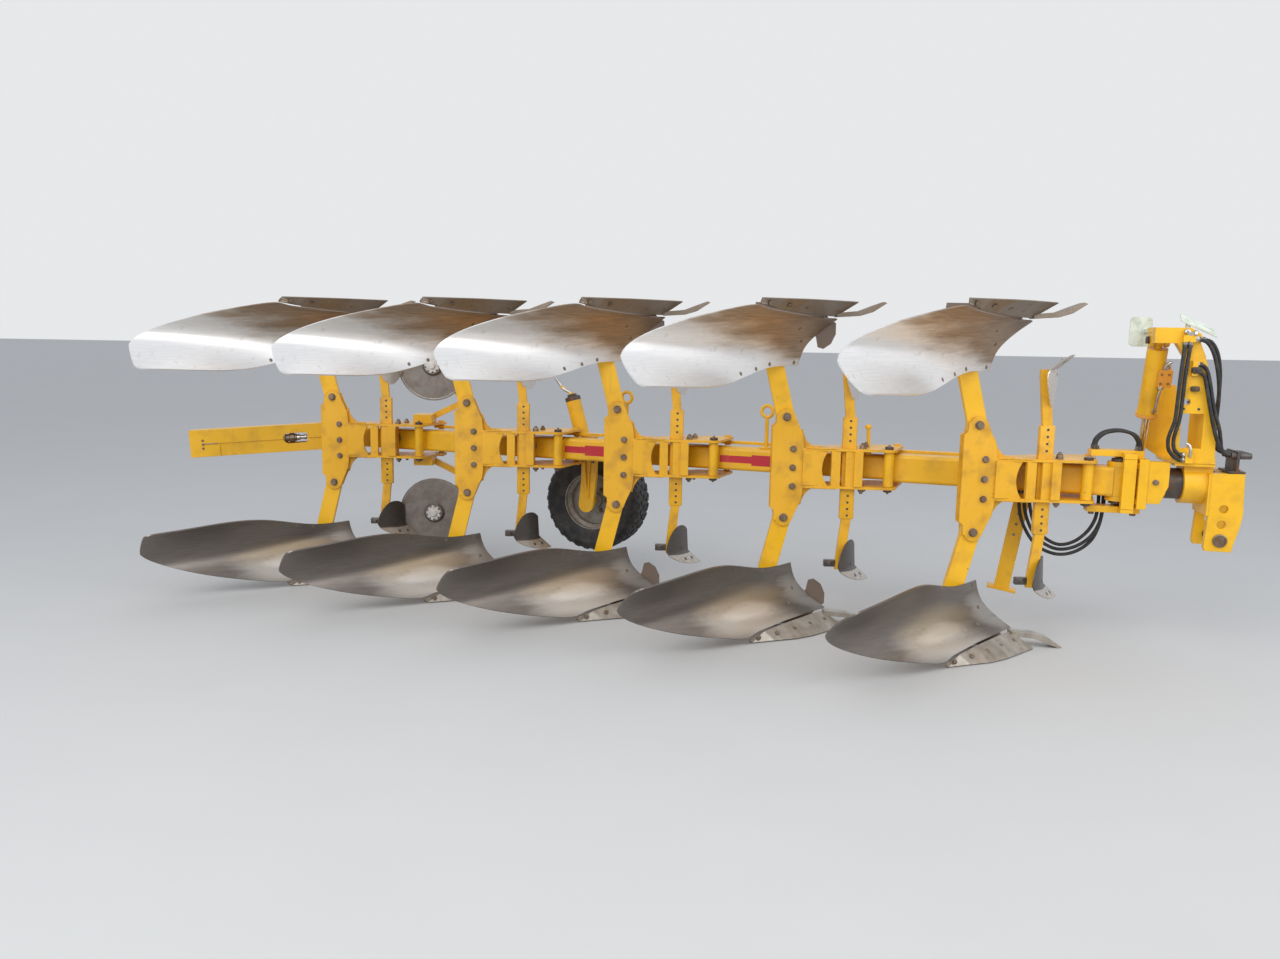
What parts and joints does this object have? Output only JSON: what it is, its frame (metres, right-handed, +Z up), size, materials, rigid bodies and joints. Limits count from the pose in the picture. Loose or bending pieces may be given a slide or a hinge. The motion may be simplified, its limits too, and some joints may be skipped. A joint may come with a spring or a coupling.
{
  "type": "reversible moldboard plough",
  "caption": "Mounted reversible moldboard plough with a slanted beam, turning leg brackets, curved boards above and below, a depth wheel and a turnover headstock.",
  "frame": {"origin": "bottom centre of the bounding box, on the ground", "axes": "+X forwards along the driving direction, +Y to the unploughed land side, +Z up"},
  "size_m": [5.9786, 2.694, 1.79],
  "materials": {
    "yellow_paint": "weathered gloss paint",
    "dark_steel": "dark oiled steel",
    "worn_steel": "soil-polished with rust patina",
    "rod_chrome": "hard chrome",
    "rim_grey": "dusty grey",
    "tyre_black": "dusty rubber",
    "hose_rubber": "dusty",
    "orange_paint": "satin",
    "pale_board": "matt"
  },
  "bodies": {
    "frame": {"beam": "yellow_paint", "turn_pins": "dark_steel", "rear_arm": "yellow_paint", "wheel_arm": "yellow_paint", "wheel_adjuster": "yellow_paint", "beam_hoses": "hose_rubber"},
    "wheel": {"wheel_rim": "rim_grey", "wheel_tyre": "tyre_black"},
    "steering": {"steering_rod": "yellow_paint"},
    "parking_stand": {"stand": "yellow_paint"},
    "front": {"front_fork": "yellow_paint", "swing_pin": "dark_steel", "turnover_axle": "dark_steel", "fork_hoses": "hose_rubber"},
    "head": {"headstock": "yellow_paint", "tower": "yellow_paint", "cross_shaft": "dark_steel", "marker_boards": "pale_board", "coupler_rack": "dark_steel", "tower_hoses": "hose_rubber"},
    "barrel": {"cylinder_barrel": "yellow_paint", "valve_block": "orange_paint"},
    "rod": {"cylinder_rod": "rod_chrome"},
    "coulter_low": {"disc_lower": "worn_steel"},
    "coulter_high": {"disc_upper": "worn_steel"},
    "plough_body_0": {"bracket_0": "yellow_paint", "legs_0": "yellow_paint", "boards_0": "worn_steel", "shares_0": "worn_steel", "skimmers_0": "yellow_paint"},
    "plough_body_1": {"bracket_1": "yellow_paint", "legs_1": "yellow_paint", "boards_1": "worn_steel", "shares_1": "worn_steel", "skimmers_1": "yellow_paint"},
    "plough_body_2": {"bracket_2": "yellow_paint", "legs_2": "yellow_paint", "boards_2": "worn_steel", "shares_2": "worn_steel", "skimmers_2": "yellow_paint"},
    "plough_body_3": {"bracket_3": "yellow_paint", "legs_3": "yellow_paint", "boards_3": "worn_steel", "shares_3": "worn_steel", "skimmers_3": "yellow_paint"},
    "plough_body_4": {"bracket_4": "yellow_paint", "legs_4": "yellow_paint", "boards_4": "worn_steel", "shares_4": "worn_steel", "skimmers_4": "yellow_paint", "disc_arms": "yellow_paint"}
  },
  "joints": [
    {"name": "furrow_width", "type": "hinge", "parent": "frame", "child": "plough_body_0", "pos_m": [2.24113, -0.46197, 0.895], "axis": [0, 0, 1], "range_deg": [-2.8, 9.5]},
    {"name": "furrow_width_1", "type": "hinge", "parent": "frame", "child": "plough_body_1", "pos_m": [1.3185, -0.11702, 0.895], "axis": [0, 0, 1], "range_deg": [-2.8, 9.5]},
    {"name": "furrow_width_2", "type": "hinge", "parent": "frame", "child": "plough_body_2", "pos_m": [0.39588, 0.22794, 0.895], "axis": [0, 0, 1], "range_deg": [-2.8, 9.5]},
    {"name": "furrow_width_3", "type": "hinge", "parent": "frame", "child": "plough_body_3", "pos_m": [-0.52674, 0.57289, 0.895], "axis": [0, 0, 1], "range_deg": [-2.8, 9.5]},
    {"name": "furrow_width_4", "type": "hinge", "parent": "frame", "child": "plough_body_4", "pos_m": [-1.44936, 0.91785, 0.895], "axis": [0, 0, 1], "range_deg": [-2.8, 9.5]},
    {"name": "steering_slide", "type": "slide", "parent": "frame", "child": "steering", "axis": [0.9367, -0.3502, 0], "range_m": [-0.042, 0.013]},
    {"name": "front_swing", "type": "hinge", "parent": "frame", "child": "front", "pos_m": [2.42518, -0.41228, 0.895], "axis": [0, 0, 1], "range_deg": [-8, 8]},
    {"name": "turnover", "type": "hinge", "parent": "front", "child": "head", "pos_m": [2.42518, -0.41228, 0.895], "axis": [-0.9744, 0.225, 0], "range_deg": [0, 180]},
    {"name": "barrel_swing", "type": "hinge", "parent": "head", "child": "barrel", "pos_m": [2.5538, -0.44197, 1.61], "axis": [-0.9744, 0.225, 0], "range_deg": [0, 33.96]},
    {"name": "rod_slide", "type": "slide", "parent": "barrel", "child": "rod", "axis": [-0.0657, -0.2845, 0.9564], "range_m": [0, 0.2151]},
    {"name": "stand_fold", "type": "hinge", "parent": "frame", "child": "parking_stand", "pos_m": [2.07023, -0.08527, 0.777], "axis": [0.3502, 0.9367, 0], "range_deg": [0, 80]},
    {"name": "wheel_spin", "type": "hinge", "parent": "frame", "child": "wheel", "pos_m": [-0.30051, 1.06375, 0.517], "axis": [0.3502, 0.9367, 0], "continuous": true},
    {"name": "coulter_low_spin", "type": "hinge", "parent": "plough_body_4", "child": "coulter_low", "pos_m": [-1.38736, 1.07485, 0.406], "axis": [0, 1, 0], "continuous": true},
    {"name": "coulter_high_spin", "type": "hinge", "parent": "plough_body_4", "child": "coulter_high", "pos_m": [-1.38736, 1.07485, 1.377], "axis": [0, 1, 0], "continuous": true}
  ],
  "couplings": [
    {"joint": "furrow_width_1", "follows": "furrow_width", "ratio": 1},
    {"joint": "furrow_width_2", "follows": "furrow_width", "ratio": 1},
    {"joint": "furrow_width_3", "follows": "furrow_width", "ratio": 1},
    {"joint": "furrow_width_4", "follows": "furrow_width", "ratio": 1},
    {"joint": "steering_slide", "follows": "furrow_width", "m_per_rad": -0.24558},
    {"joint": "barrel_swing", "follows": "turnover", "ratio": 0.18866},
    {"joint": "rod_slide", "follows": "turnover", "m_per_rad": 0.068437}
  ]
}
